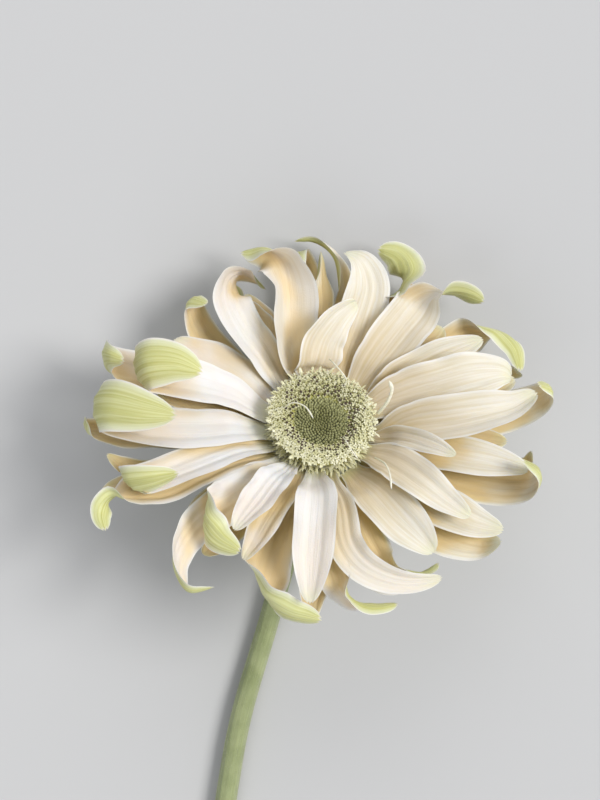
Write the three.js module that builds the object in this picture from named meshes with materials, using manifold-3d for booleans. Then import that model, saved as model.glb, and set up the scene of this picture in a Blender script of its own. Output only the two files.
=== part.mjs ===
// A cut gerbera lying on a table: a daisy-like flower head with five rows of long, curled petals round a
// flat disc of tiny florets, on a green cup of bracts and a bent neck that runs into a long bare stem.
// Units are millimetres, +Z is up, and the stem lies along -Y from the head.

import * as THREE from 'three';
import { mergeVertices } from 'three/addons/utils/BufferGeometryUtils.js';
import Module from 'manifold-3d';

// ---- driving dimensions -------------------------------------------------------------------------------

// pose of the head on the table
const HEAD_LEAN = 30; // degrees between the way the flower faces and straight up
const HEAD_HEADING = 80; // compass direction, in degrees from +X, that the face leans towards

// stem
const STEM_LENGTH = 300;
const STEM_NECK_RADIUS = 2.6;
const STEM_CUT_RADIUS = 3.3;
const STEM_SIDES = 12;
const NECK_STRAIGHT = 3; // length of neck that stays straight behind the cup
const STEM_HEADINGS = [254, 260, 264, 263, 261]; // direction of the lying stem, from the neck to the cut

// petals
const PETAL_REACH = 1; // scale of every petal's outline along the petal
const PETAL_WIDTH = 10; // width of a petal whose wide is 1
const PETAL_THICKNESS = 0.8; // at the midrib
const PETAL_EDGE = 0.5; // thickness at the margins
const PETAL_HOLLOW = 0.2; // depth of the groove along a blade, as a share of half its width
const TIP_START = 0.62; // share of its length at which a petal starts to narrow to the tip
const PETAL_SHINGLE = 12; // roll in degrees that lets neighbours in a row overlap like tiles
const PETAL_TURNS_PER_RING = 26; // degrees of bending that one ring of the mesh takes

// disc and cup
const DISC_RADIUS = 13.4;
const BUD_RADIUS = 6.8;
const DISC_HEIGHT = 4.2; // height of the florets above the receptacle
const RECEPTACLE_RADIUS = 11;
const RECEPTACLE_TOP = -3;
const CUP_DEPTH = 16; // from the plane of the disc down to the neck
const CUP_RADIUS = 12.6;
const BRACT_COUNT = 22;
const GAP = 0.3; // clearance between pieces that rest against each other

// The rows of petals, from the outermost: radius and height where they grow, and their rise in degrees.
const ROWS = [
  { radius: 12.6, height: -9.6, rise: 2 },
  { radius: 12.4, height: -8.3, rise: 9 },
  { radius: 12.2, height: -7.0, rise: 16 },
  { radius: 12.0, height: -5.7, rise: 23 },
  { radius: 11.8, height: -4.4, rise: 30 },
];

// The petals, row by row. Each grows at its own compass angle (at) and runs through points given as
// [distance from the disc's middle, degrees round from its own angle, height, roll in degrees]; a point
// without a roll has none. A petal's fold is how deeply its tip is creased along the midrib, and its point
// is the share of its length at which it starts to narrow to the tip.
const PETALS = [
  // outermost row
  {
    row: 0,
    at: 6,
    wide: 1.0,
    path: [[26, 0, -7], [40, 0, -6], [50, 1, -4], [56, 1, 1], [57, 1, 6], [53, 1, 9]],
  },
  {
    row: 0,
    at: 25,
    wide: 0.9,
    path: [[26, 0, -8], [38, -1, -8], [47, -1, -7, 20], [52, -4, -4, 40], [54, -9, -1, 60]],
  },
  { row: 0, at: 52, wide: 0.9, path: [[26, 0, -9], [38, 0, -9], [48, 0, -9]] },
  {
    row: 0,
    at: 94,
    wide: 1.0,
    path: [[28, 0, -7], [38, 0, -7], [45, 1, -4], [48, 3, 0], [45, 4, 4], [38, 4, 5]],
  },
  { row: 0, at: 113, wide: 0.9, path: [[26, 0, -9], [38, 0, -9], [46, 0, -9]] },
  {
    row: 0,
    at: 138,
    wide: 0.9,
    path: [[27, 0, -8], [37, 0, -6], [43, -1, -1], [45, -2, 4], [40, -3, 7]],
  },
  { row: 0, at: 162, wide: 0.9, path: [[26, 0, -8], [36, 0, -8], [45, 0, -7]] },
  { row: 0, at: 182, wide: 1.0, path: [[26, 0, -8], [40, 0, -7], [51, 1, -5], [57, 2, 0], [57, 2, 5]] },
  {
    row: 0,
    at: 198,
    wide: 0.8,
    path: [[26, 0, -9], [36, -1, -9], [44, -3, -9], [50, -6, -7], [53, -8, -3]],
  },
  { row: 0, at: 230, wide: 0.8, path: [[26, 0, -9], [35, 0, -9], [42, 1, -7], [45, 1, -4]] },
  { row: 0, at: 268, wide: 0.8, path: [[25, 0, -9], [36, 0, -9], [44, -1, -9], [49, -1, -9]] },
  {
    row: 0,
    at: 350,
    wide: 0.8,
    path: [[26, -1, -9], [38, -2, -8], [47, -3, -6], [52, -2, -2], [52, 0, 3]],
  },

  // second row
  { row: 1, at: 15, wide: 0.9, path: [[25, 0, -4], [34, 0, -3], [42, -1, -2], [47, -1, 0]] },
  {
    row: 1,
    at: 33,
    wide: 1.0,
    path: [
      [25, 0, -5], [38, 1, -4], [46, 2, -2, 20],
      [52, -2, 1, 90], [54, -10, 2, 120], [53, -17, 1, 120],
    ],
  },
  {
    row: 1,
    at: 80,
    wide: 0.7,
    path: [
      [25, -1, -5], [34, -2, -5, 10], [42, 1, 0, 50],
      [47, 5, 4, 70], [50, 11, 5, 80], [50, 17, 5, 100],
    ],
  },
  {
    row: 1,
    at: 116,
    wide: 0.8,
    path: [[25, 0, -5], [33, 0, -5], [39, 0, -6, 20], [43, 1, -4, 60], [45, 2, -1, 100]],
  },
  {
    row: 1,
    at: 160,
    wide: 1.1,
    path: [[26, 0, -6], [38, 1, -5], [48, 3, -3], [54, 5, 0], [55, 6, 5], [53, 8, 9], [49, 9, 10]],
  },
  { row: 1, at: 180, wide: 0.8, path: [[24, 0, -5], [34, 0, -4], [43, -1, -3]] },
  { row: 1, at: 201, wide: 0.9, path: [[26, 0, -6], [38, 0, -6], [48, -1, -5], [56, -2, -4]] },
  { row: 1, at: 219, wide: 0.9, path: [[26, 0, -6], [36, 0, -6], [43, 0, -6]] },
  { row: 1, at: 250, wide: 0.9, path: [[26, 0, -6], [36, 0, -6], [42, 0, -6]] },
  {
    row: 1,
    at: 288,
    wide: 1.0,
    path: [
      [25, 0, -6], [34, 1, -6], [40, 3, -6, 20],
      [44, 9, -4, 80], [46, 14, -2, 130], [46, 18, -1, 150],
    ],
  },
  {
    row: 1,
    at: 315,
    wide: 1.1,
    path: [[25, 0, -6], [36, 1, -6], [44, 3, -5], [50, 6, -4], [53, 8, 0]],
  },
  {
    row: 1,
    at: 339,
    wide: 1.0,
    path: [[26, 0, -5], [40, 0, -4], [49, 1, -2], [54, 2, 2], [54, 3, 7], [49, 4, 9]],
  },
  { row: 1, at: 356, wide: 0.8, path: [[26, 0, -5], [38, 0, -4], [47, 0, -3]] },

  // third row
  { row: 2, at: 7, wide: 1.0, path: [[23, 0, -2], [33, 3, -1], [43, 6, 0], [51, 7, 1]] },
  { row: 2, at: 40, wide: 1.0, path: [[24, 0, -2], [34, 0, 0], [42, 0, 1]] },
  {
    row: 2,
    at: 60,
    wide: 1.2,
    path: [
      [25, -2, -4], [33, -2, -3, -5], [40, -1, 0, 10], [44, 0, 4, 80],
      [47, 2, 6, 150], [49, 6, 7, 170], [49, 12, 7, 170],
    ],
  },
  {
    row: 2,
    at: 86,
    wide: 0.7,
    path: [[25, 2, -2], [34, 3, 0, 20], [42, 3, 3, 50], [47, 3, 5, 70]],
  },
  {
    row: 2,
    at: 125,
    wide: 1.0,
    path: [[24, 1, -1], [31, 2, 1], [38, 1, 4], [43, -3, 4, 40], [45, -10, 3, 100], [40, -16, 0, 150]],
  },
  { row: 2, at: 147, wide: 1.1, path: [[22, 0, -3], [30, 1, -2], [38, 2, -1], [43, 1, -1]] },
  { row: 2, at: 170, wide: 0.8, path: [[23, 1, -3], [33, 1, -2], [41, 1, -1]] },
  {
    row: 2,
    at: 206,
    wide: 0.9,
    path: [
      [24, 0, -2], [34, 1, -1], [43, 2, 0], [51, -1, 1],
      [56, -2, 1, 80], [59, 1, 0, 140], [60, 5, 0, 160],
    ],
  },
  {
    row: 2,
    at: 220,
    wide: 0.8,
    path: [
      [23, 0, -3], [32, 2, -2], [40, 3, -1, -20], [47, 5, 0, -50],
      [53, 9, 1, -70], [56, 15, 1, -80], [52, 20, 1, -80],
    ],
  },
  {
    row: 2,
    at: 249,
    wide: 1.1,
    path: [
      [24, 0, -4], [33, 0, -4], [41, 1, -3, -20],
      [47, 3, -2, -80], [50, 10, -3, -120], [51, 20, -4, -140],
    ],
  },
  {
    row: 2,
    at: 270,
    wide: 0.8,
    path: [
      [24, 1, -4], [33, 3, -3], [40, 4, -3, 20],
      [46, 7, -4, 80], [49, 13, -3, 130], [50, 20, -3, 140],
    ],
  },
  { row: 2, at: 306, wide: 1.1, path: [[22, 0, -3], [31, 0, -2], [38, 1, -2], [43, 2, -3]] },
  { row: 2, at: 321, wide: 1.0, path: [[25, -1, -4], [36, 1, -2], [46, 3, -1], [52, 5, 0]] },
  { row: 2, at: 343, wide: 0.9, path: [[22, 1, -3], [31, 1, 0], [40, 1, 2], [48, 1, 3], [52, 1, 3]] },

  // fourth row
  { row: 3, at: 31, wide: 0.8, path: [[23, 1, 0], [32, -1, 3], [40, -3, 5], [46, -4, 6]] },
  {
    row: 3,
    at: 50,
    wide: 1.2,
    path: [[22, 0, 0], [30, 0, 3], [37, 0, 5], [43, 0, 6, -50], [49, -5, 6, -90], [54, -12, 4, -120]],
  },
  {
    row: 3,
    at: 70,
    wide: 1.1,
    path: [[22, 0, 0], [30, 0, 3], [38, 1, 6], [43, 6, 8, 20], [45, 12, 8, 40]],
  },
  {
    row: 3,
    at: 106,
    wide: 1.1,
    fold: 0.9,
    point: 0.5,
    path: [[21, 3, 0], [27, 0, 2], [34, -3, 5], [41, -3, 8, -30], [46, 1, 9, -90], [48, 9, 8, -130]],
  },
  {
    row: 3,
    at: 163,
    wide: 1.2,
    point: 0.74,
    path: [[22, 0, 0], [32, 2, 2], [41, 4, 3], [46, 6, 6], [44, 6, 11], [37, 5, 13], [30, 6, 12]],
  },
  {
    row: 3,
    at: 185,
    wide: 1.2,
    point: 0.74,
    path: [
      [22, 3, 0], [32, 3, 1], [43, 1, 2], [51, -2, 3],
      [55, -3, 7], [52, -1, 12], [44, 3, 14], [36, 6, 13],
    ],
  },
  {
    row: 3,
    at: 201,
    wide: 0.9,
    point: 0.74,
    path: [[22, 1, 0], [32, 2, 1], [41, 3, 2], [48, 3, 3], [51, 4, 6], [47, 7, 9], [40, 9, 9]],
  },
  {
    row: 3,
    at: 226,
    wide: 1.0,
    path: [
      [23, 0, -1], [31, 0, 1], [37, -1, 3, -40],
      [41, 0, 5, -90], [43, 7, 5, -130], [43, 16, 5, -140],
    ],
  },
  { row: 3, at: 246, wide: 0.7, path: [[22, 0, 0], [31, -2, 1], [38, -2, 2], [43, -3, 1]] },
  {
    row: 3,
    at: 279,
    wide: 0.8,
    point: 0.45,
    path: [[24, 0, 0], [34, -1, 1], [40, 3, 1, 10], [45, 10, 1, 20], [48, 17, 1, 30], [50, 24, 1, 30]],
  },
  {
    row: 3,
    at: 353,
    wide: 1.1,
    fold: 0.4,
    point: 0.5,
    path: [[22, 4, 0], [31, 5, 3], [40, 7, 5], [47, 9, 6], [53, 12, 8]],
  },

  // innermost row
  {
    row: 4,
    at: 22,
    wide: 1.2,
    path: [[22, -3, 1], [30, -6, 4], [38, -7, 6], [46, -8, 6], [49, -9, 4]],
  },
  {
    row: 4,
    at: 96,
    wide: 1.2,
    point: 0.3,
    path: [[16, -2, 0], [21, -8, 4], [26, -16, 7], [31, -23, 8]],
  },
  { row: 4, at: 236, wide: 0.8, path: [[21, 0, 2], [30, 1, 5], [37, 1, 7], [40, 1, 7]] },
  { row: 4, at: 264, wide: 0.95, path: [[22, 1, 3], [32, 1, 4], [41, 1, 4], [50, 1, 3]] },
  {
    row: 4,
    at: 328,
    wide: 0.9,
    point: 0.45,
    path: [[22, -2, 1], [30, -5, 3], [37, -6, 3], [44, -6, 3]],
  },
  { row: 4, at: 348, wide: 0.5, path: [[20, -3, 2], [28, -8, 6], [34, -10, 7]] },
];

// ---- helpers ------------------------------------------------------------------------------------------

const wasm = await Module();
wasm.setup();

const rad = THREE.MathUtils.degToRad;

function polar(radius, angle, height) {
  return new THREE.Vector3(radius * Math.cos(rad(angle)), radius * Math.sin(rad(angle)), height);
}

// Turns rings of points, all of one length, into a closed body with flat ends.
function loftRings(rings) {
  const positions = rings.flat().flatMap((p) => [p.x, p.y, p.z]);
  const count = rings[0].length;
  const index = [];
  for (let ring = 0; ring < rings.length - 1; ring += 1) {
    for (let side = 0; side < count; side += 1) {
      const a = ring * count + side;
      const b = ring * count + ((side + 1) % count);
      index.push(a, b, b + count, a, b + count, a + count);
    }
  }
  const last = (rings.length - 1) * count;
  for (let side = 1; side < count - 1; side += 1) {
    index.push(0, side + 1, side);
    index.push(last, last + side, last + side + 1);
  }
  const geometry = new THREE.BufferGeometry();
  geometry.setAttribute('position', new THREE.Float32BufferAttribute(positions, 3));
  geometry.setIndex(index);
  return geometry;
}

function toManifold(geometry) {
  const bare = geometry.clone();
  bare.deleteAttribute('normal');
  bare.deleteAttribute('uv');
  const merged = mergeVertices(bare, 1e-4);
  return new wasm.Manifold(new wasm.Mesh({
    numProp: 3,
    vertProperties: new Float32Array(merged.attributes.position.array),
    triVerts: new Uint32Array(merged.index.array),
  }));
}

function fromManifold(solid) {
  const mesh = solid.getMesh();
  const geometry = new THREE.BufferGeometry();
  geometry.setAttribute('position', new THREE.BufferAttribute(mesh.vertProperties, 3));
  geometry.setIndex(new THREE.BufferAttribute(mesh.triVerts, 1));
  return geometry;
}

function namedMesh(name, geometry, material) {
  const mesh = new THREE.Mesh(geometry, material);
  mesh.name = name;
  return mesh;
}

// ---- petals -------------------------------------------------------------------------------------------

// Share of the full width at a share of the petal's length: a narrow claw, a long blade and a blunt tip
// that starts to narrow at the share called point.
function petalWidthShare(t, point) {
  const claw = 0.3 + 0.7 * THREE.MathUtils.smoothstep(t, 0, 0.37);
  const tip = t < point ? 1 : 1 - 0.76 * ((t - point) / (1 - point)) ** 2;
  return claw * tip;
}

// Points along the petal with a frame at each: the way it grows, its left side and its upper face.
function petalFrames(petal) {
  const row = ROWS[petal.row];
  const slope = Math.tan(rad(row.rise));
  const points = [
    polar(row.radius, petal.at, row.height),
    polar(row.radius + 4, petal.at, row.height + 4 * slope),
  ];
  const rolls = [PETAL_SHINGLE, PETAL_SHINGLE];
  for (const [reach, turn, height, roll = 0] of petal.path) {
    const radius = row.radius + (reach - row.radius) * PETAL_REACH;
    points.push(polar(radius, petal.at + turn, height * PETAL_REACH));
    rolls.push(roll + PETAL_SHINGLE);
  }
  const curve = new THREE.CatmullRomCurve3(points, false, 'centripetal');
  const steps = 120;
  const samples = [];
  let left = polar(1, petal.at + 90, 0);
  let travelled = 0;
  let bending = 0;
  for (let step = 0; step <= steps; step += 1) {
    const u = step / steps;
    const position = curve.getPoint(u);
    const along = curve.getTangent(u);
    left = left.clone().addScaledVector(along, -left.dot(along)).normalize();
    const place = u * (points.length - 1);
    const before = Math.min(Math.floor(place), points.length - 2);
    const blend = THREE.MathUtils.smoothstep(place - before, 0, 1);
    const roll = rolls[before] + (rolls[before + 1] - rolls[before]) * blend;
    const side = left.clone().applyAxisAngle(along, rad(roll));
    const previous = samples[samples.length - 1];
    if (previous) {
      travelled += position.distanceTo(previous.position);
      const turned = along.angleTo(previous.along) + side.angleTo(previous.side) * 0.5;
      bending += THREE.MathUtils.radToDeg(turned);
    }
    const face = new THREE.Vector3().crossVectors(along, side);
    samples.push({ position, along, side, face, travelled, bending });
  }
  return samples;
}

function petalGeometry(petal) {
  const samples = petalFrames(petal);
  const end = samples[samples.length - 1];
  const effort = (s) => s.travelled / end.travelled + s.bending / (PETAL_TURNS_PER_RING * 9);
  const ringCount = 9 + Math.round(end.bending / PETAL_TURNS_PER_RING);
  const rings = [];
  let at = 0;
  for (let ring = 0; ring <= ringCount; ring += 1) {
    const wanted = (effort(end) * ring) / ringCount;
    while (at < samples.length - 1 && effort(samples[at]) < wanted) {
      at += 1;
    }
    rings.push(petalRing(samples[at], samples[at].travelled / end.travelled, petal));
  }
  return loftRings(rings);
}

// One ring: the lower face from right to left, then the upper face from left to right.
function petalRing(sample, share, petal) {
  const half = (PETAL_WIDTH * petal.wide * petalWidthShare(share, petal.point ?? TIP_START)) / 2;
  const fold = petal.fold ?? PETAL_HOLLOW;
  const hollow = half * THREE.MathUtils.lerp(PETAL_HOLLOW, fold, share);
  const thin = 1 - 0.35 * share;
  const place = (across, up) => sample.position.clone()
    .addScaledVector(sample.side, across)
    .addScaledVector(sample.face, up);
  return [
    place(-half, (-PETAL_EDGE * thin) / 2 + hollow),
    place(0, (-PETAL_THICKNESS * thin) / 2),
    place(half, (-PETAL_EDGE * thin) / 2 + hollow),
    place(half, (PETAL_EDGE * thin) / 2 + hollow),
    place(0, (PETAL_THICKNESS * thin) / 2),
    place(-half, (PETAL_EDGE * thin) / 2 + hollow),
  ];
}

function addPetals(head) {
  const material = new THREE.MeshStandardMaterial({ color: 0xefe9dc, roughness: 0.55, metalness: 0 });
  const numberInRow = ROWS.map(() => 0);
  for (const petal of PETALS) {
    numberInRow[petal.row] += 1;
    const number = String(numberInRow[petal.row]).padStart(2, '0');
    head.add(namedMesh(`petal_row${petal.row + 1}_${number}`, petalGeometry(petal), material));
  }
}

// ---- disc ---------------------------------------------------------------------------------------------

function discBuds() {
  const profile = [
    new THREE.Vector2(0, RECEPTACLE_TOP + GAP),
    new THREE.Vector2(BUD_RADIUS, RECEPTACLE_TOP + GAP),
    new THREE.Vector2(BUD_RADIUS, RECEPTACLE_TOP + DISC_HEIGHT * 0.55),
    new THREE.Vector2(BUD_RADIUS * 0.8, RECEPTACLE_TOP + DISC_HEIGHT * 0.75),
    new THREE.Vector2(BUD_RADIUS * 0.35, RECEPTACLE_TOP + DISC_HEIGHT * 0.78),
    new THREE.Vector2(0, RECEPTACLE_TOP + DISC_HEIGHT * 0.6),
  ];
  return new THREE.LatheGeometry(profile, 32).rotateX(Math.PI / 2);
}

function discFlorets() {
  const inner = BUD_RADIUS + GAP;
  const low = RECEPTACLE_TOP + GAP;
  const profile = [
    new THREE.Vector2(inner, low),
    new THREE.Vector2(RECEPTACLE_RADIUS, low),
    new THREE.Vector2(DISC_RADIUS, low + DISC_HEIGHT * 0.65),
    new THREE.Vector2(DISC_RADIUS * 0.95, low + DISC_HEIGHT),
    new THREE.Vector2(DISC_RADIUS * 0.75, low + DISC_HEIGHT * 1.05),
    new THREE.Vector2(inner, low + DISC_HEIGHT * 0.7),
    new THREE.Vector2(inner, low),
  ];
  return new THREE.LatheGeometry(profile, 32).rotateX(Math.PI / 2);
}

function addDisc(head) {
  const buds = new THREE.MeshStandardMaterial({ color: 0x8f8e5e, roughness: 0.8, metalness: 0 });
  const florets = new THREE.MeshStandardMaterial({ color: 0xd9d69c, roughness: 0.7, metalness: 0 });
  head.add(namedMesh('disc_buds', discBuds(), buds));
  head.add(namedMesh('disc_florets', discFlorets(), florets));
}

// ---- cup of bracts ------------------------------------------------------------------------------------

function receptacleBody() {
  const shoulder = ROWS[0].height - PETAL_THICKNESS - 1.2;
  const profile = [
    new THREE.Vector2(0, -CUP_DEPTH),
    new THREE.Vector2(STEM_NECK_RADIUS + 0.6, -CUP_DEPTH),
    new THREE.Vector2(CUP_RADIUS * 0.72, -CUP_DEPTH + 1.6),
    new THREE.Vector2(CUP_RADIUS * 0.97, shoulder - 1.2),
    new THREE.Vector2(CUP_RADIUS, shoulder),
    new THREE.Vector2(RECEPTACLE_RADIUS, shoulder + 0.8),
    new THREE.Vector2(RECEPTACLE_RADIUS, RECEPTACLE_TOP - 1),
    new THREE.Vector2(RECEPTACLE_RADIUS - 1, RECEPTACLE_TOP),
    new THREE.Vector2(0, RECEPTACLE_TOP),
  ];
  return new THREE.LatheGeometry(profile, 32).rotateX(Math.PI / 2);
}

// One bract: a pointed scale that hugs the outside of the cup.
function bract(angle, tip) {
  const spread = 3.4;
  const low = polar(CUP_RADIUS * 0.7, angle, -CUP_DEPTH + 2.2);
  const middle = polar(CUP_RADIUS * 1.0, angle, -CUP_DEPTH + 4.4);
  const high = polar(CUP_RADIUS + 1.1, angle, tip);
  const across = polar(1, angle + 90, 0);
  const out = polar(0.9, angle, -0.5);
  const ring = (centre, half, thick) => [
    centre.clone().addScaledVector(across, -half),
    centre.clone().addScaledVector(out, thick),
    centre.clone().addScaledVector(across, half),
    centre.clone().addScaledVector(out, -thick * 1.6),
  ];
  return loftRings([ring(low, spread * 0.25, 0.5), ring(middle, spread * 0.5, 0.8), ring(high, 0.3, 0.25)]);
}

function addCup(head) {
  let solid = toManifold(receptacleBody());
  const highest = ROWS[0].height - PETAL_THICKNESS / 2 - GAP - 0.4;
  for (let number = 0; number < BRACT_COUNT; number += 1) {
    const tip = highest - (number % 2) * 1.6;
    solid = solid.add(toManifold(bract((number * 360) / BRACT_COUNT, tip)));
  }
  const material = new THREE.MeshStandardMaterial({ color: 0x5f7a3c, roughness: 0.8, metalness: 0 });
  head.add(namedMesh('involucre', fromManifold(solid), material));
}

// ---- stem ---------------------------------------------------------------------------------------------

// The stem's centre line, from behind the cup: straight, then an arc down to the table, then along it.
function stemPoints(headCentre, facing) {
  const points = [headCentre.clone().addScaledVector(facing, -(CUP_DEPTH + GAP))];
  const away = HEAD_HEADING + 180;
  const steep = 90 - HEAD_LEAN;
  points.push(points[0].clone().addScaledVector(facing, -NECK_STRAIGHT));
  const drop = points[1].z - STEM_NECK_RADIUS;
  const bendRadius = drop / (1 - Math.cos(rad(steep)));
  const arcSteps = 8;
  for (let step = 1; step <= arcSteps; step += 1) {
    const down = steep * (1 - (step - 0.5) / arcSteps);
    const length = (bendRadius * rad(steep)) / arcSteps;
    const heading = away + ((STEM_HEADINGS[0] - away) * step) / arcSteps;
    points.push(points[points.length - 1].clone().add(
      polar(length * Math.cos(rad(down)), heading, -length * Math.sin(rad(down))),
    ));
  }
  const bent = NECK_STRAIGHT + bendRadius * rad(steep);
  const stride = (STEM_LENGTH - bent) / (STEM_HEADINGS.length * 2);
  const thicken = (STEM_CUT_RADIUS - STEM_NECK_RADIUS) / (STEM_HEADINGS.length * 2);
  for (const heading of STEM_HEADINGS) {
    for (let half = 0; half < 2; half += 1) {
      points.push(points[points.length - 1].clone().add(polar(stride, heading, thicken)));
    }
  }
  return points;
}

function stemGeometry(headCentre, facing) {
  const curve = new THREE.CatmullRomCurve3(stemPoints(headCentre, facing), false, 'centripetal');
  const steps = 44;
  const rings = [];
  let up = new THREE.Vector3(0, 0, 1);
  for (let step = 0; step <= steps; step += 1) {
    const along = curve.getTangentAt(step / steps);
    const centre = curve.getPointAt(step / steps);
    up = up.clone().addScaledVector(along, -up.dot(along)).normalize();
    const side = new THREE.Vector3().crossVectors(along, up);
    const radius = THREE.MathUtils.lerp(STEM_NECK_RADIUS, STEM_CUT_RADIUS, step / steps);
    const ring = [];
    for (let corner = 0; corner < STEM_SIDES; corner += 1) {
      const angle = rad((360 * corner) / STEM_SIDES + 90);
      ring.push(centre.clone()
        .addScaledVector(up, radius * Math.sin(angle))
        .addScaledVector(side, -radius * Math.cos(angle)));
    }
    rings.push(ring);
  }
  return loftRings(rings);
}

// ---- assembly -----------------------------------------------------------------------------------------

function lowestPoint(object) {
  return new THREE.Box3().setFromObject(object, true).min.z;
}

const facing = polar(Math.sin(rad(HEAD_LEAN)), HEAD_HEADING, Math.cos(rad(HEAD_LEAN)));
const head = new THREE.Group();
head.quaternion.setFromUnitVectors(new THREE.Vector3(0, 0, 1), facing);
addPetals(head);
addDisc(head);
addCup(head);
head.updateMatrixWorld(true);
head.position.z = -lowestPoint(head); // the lowest petals touch the table

const green = new THREE.MeshStandardMaterial({ color: 0x8b9c6f, roughness: 0.75, metalness: 0 });
const gerbera = new THREE.Group();
gerbera.add(head);
gerbera.add(namedMesh('stem', stemGeometry(head.position, facing), green));

// The origin is at the middle of the bottom of the whole flower's box.
gerbera.updateMatrixWorld(true);
const box = new THREE.Box3().setFromObject(gerbera, true);
const middle = box.getCenter(new THREE.Vector3());
gerbera.position.set(-middle.x, -middle.y, -box.min.z);

export default gerbera;
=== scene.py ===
# A cut gerbera lying on a pale table, seen from straight above its flower head. Petals, disc, cup and stem
# are modelled over the model's solids, which give the places of the head, the petals and the stem.

import math
import random

import bpy
import numpy as np
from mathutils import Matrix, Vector
from mathutils.bvhtree import BVHTree


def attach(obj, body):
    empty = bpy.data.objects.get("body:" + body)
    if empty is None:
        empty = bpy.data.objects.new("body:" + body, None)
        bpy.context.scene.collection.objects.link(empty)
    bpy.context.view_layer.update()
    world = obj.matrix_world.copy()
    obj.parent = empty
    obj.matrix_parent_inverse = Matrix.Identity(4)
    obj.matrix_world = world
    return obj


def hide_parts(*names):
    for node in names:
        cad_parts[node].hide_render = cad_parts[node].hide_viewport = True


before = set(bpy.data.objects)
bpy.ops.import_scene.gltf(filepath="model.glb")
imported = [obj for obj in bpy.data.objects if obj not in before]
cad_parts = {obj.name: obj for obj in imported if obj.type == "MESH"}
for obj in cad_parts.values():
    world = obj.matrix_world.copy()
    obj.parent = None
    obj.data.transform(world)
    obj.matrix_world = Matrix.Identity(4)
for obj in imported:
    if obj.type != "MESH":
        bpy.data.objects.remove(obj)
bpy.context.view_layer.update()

MM = 0.001
GOLDEN_ANGLE = math.pi * (3 - math.sqrt(5))
UP = np.array([0.0, 0.0, 1.0])

# camera
CAMERA_HEIGHT = 400 * MM  # above the middle of the head
CAMERA_ASIDE = Vector((-5.2 * MM, 4.9 * MM, 0))
LENS = 73.3  # focal length and sensor width in mm
SENSOR = 36

# petals
PETAL_CORNERS = 6  # points in each ring of a petal's solid
PETAL_COLUMNS = 20
PETAL_ROWS = 72
PETAL_THICKNESS = 0.42 * MM
VEIN_DEPTH = 0.58 * MM
EDGE_WAVE = 0.35 * MM
FULL_RELIEF = 2.0 * MM  # a petal with less half width than this is grooved and waved less
PETAL_WIDENING = 1.06  # petals are a little wider than their solids
CLAW_END = 0.28  # share of a petal's length that its claw takes
OUTER_CLAW_SPREAD = 0.15  # how much wider the claw is, in the two outermost rows
INNER_CLAW_SPREAD = 0.5  # and in the rows within them
TIP_START = 0.94  # share of a petal's length where it begins to narrow to its tip
SHADED_SIDE = (0.97, 0.26)  # petals that lie this way from the head's centre are golden within: painted shade on that side of the head
HOLLOW_SHADE_REACH = 24 * MM  # petals hide the sky from points nearer than this, which is painted on them as shade
SKY_TILT = math.radians(52)  # the sky is looked at straight up from the head and in a ring at this tilt
SKY_STEPS = 8
HOLLOW_SHADE_PASSES = 4  # how often the painted shade is averaged over neighbouring faces

# disc, in the head's own frame: z is 0 at the plane that the petals' rows are measured from
DISC_RADIUS = 13.4 * MM
BUD_RADIUS = 6.6 * MM
DISC_FLOOR = -2.7 * MM  # the florets' solids stand on this height
FLORET_COUNT = 520
BUD_COUNT = 340
FRINGE_COUNT = 420
FLORET_SPREAD = 0.9  # share of the disc's radius that florets stand on
FLORET_DEPTH = 1.5 * MM  # from a floret's foot up to the height of the disc there
RING_RADIUS = 11.2 * MM  # outside of the ground that the open florets stand on
FRINGE_RADIUS = 10.9 * MM
DISC_HEIGHTS = [  # radius and height of the florets' tops, in mm
    (0.0, -0.6), (2.4, 0.2), (5.4, 0.1), (6.8, -0.3), (7.8, 0.5), (10.0, 1.6), (12.2, 1.6), (13.4, 0.6),
]

# cup of bracts: radius and height of its outside in mm, from the neck to the shoulder
CUP_PROFILE = [(3.2, -16.0), (6.6, -15.4), (9.1, -14.4), (11.2, -13.4), (12.3, -12.4), (12.7, -11.5)]

# stem
STEM_CORNERS = 12  # points in each ring of the stem's solid
STEM_ROWS = 260
STEM_SIDES = 40
SKIN_SHARE = 0.985  # the skin's mean radius, as a share of the solid's, leaves room for its ribs
HAIR_COUNT = 3600
HAIR_WIDTH = 0.035 * MM
ROOT_CLEARANCE = 0.4 * MM  # hairs rooted lower than this over the floor are left out
TIP_CLEARANCE = 0.05 * MM  # and so are those that end lower than this

# studio
FLOOR_HALF_SIZE = 12.0

# sockets of the Mix node that carry colours
MIX_A = 6
MIX_B = 7
MIX_RESULT = 2


# ---- reading the frame --------------------------------------------------------------------------------


def unit(vectors):
    """The vector, or each row of vectors, at length 1."""
    return vectors / np.linalg.norm(vectors, axis=-1, keepdims=True)


def cad_mesh(node):
    """The node's corner points, welded, and for each point the set of points it shares an edge with."""
    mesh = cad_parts[node].data
    index_of = {}
    points = []
    welded = []
    for vertex in mesh.vertices:
        key = tuple(round(c * 1e7) for c in vertex.co)
        if key not in index_of:
            index_of[key] = len(points)
            points.append(tuple(vertex.co))
        welded.append(index_of[key])
    joined = [set() for _ in points]
    mesh.calc_loop_triangles()
    for triangle in mesh.loop_triangles:
        a, b, c = (welded[v] for v in triangle.vertices)
        joined[a].update((b, c))
        joined[b].update((a, c))
        joined[c].update((a, b))
    for number, others in enumerate(joined):
        others.discard(number)
    return np.array(points), joined


def ring_layers(joined, first):
    """Splits a lofted body's points into its rings, starting from the points of the first one."""
    layers = [sorted(first)]
    seen = set(first)
    while True:
        following = {other for point in layers[-1] for other in joined[point]} - seen
        if not following:
            return layers
        layers.append(sorted(following))
        seen |= following


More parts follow.
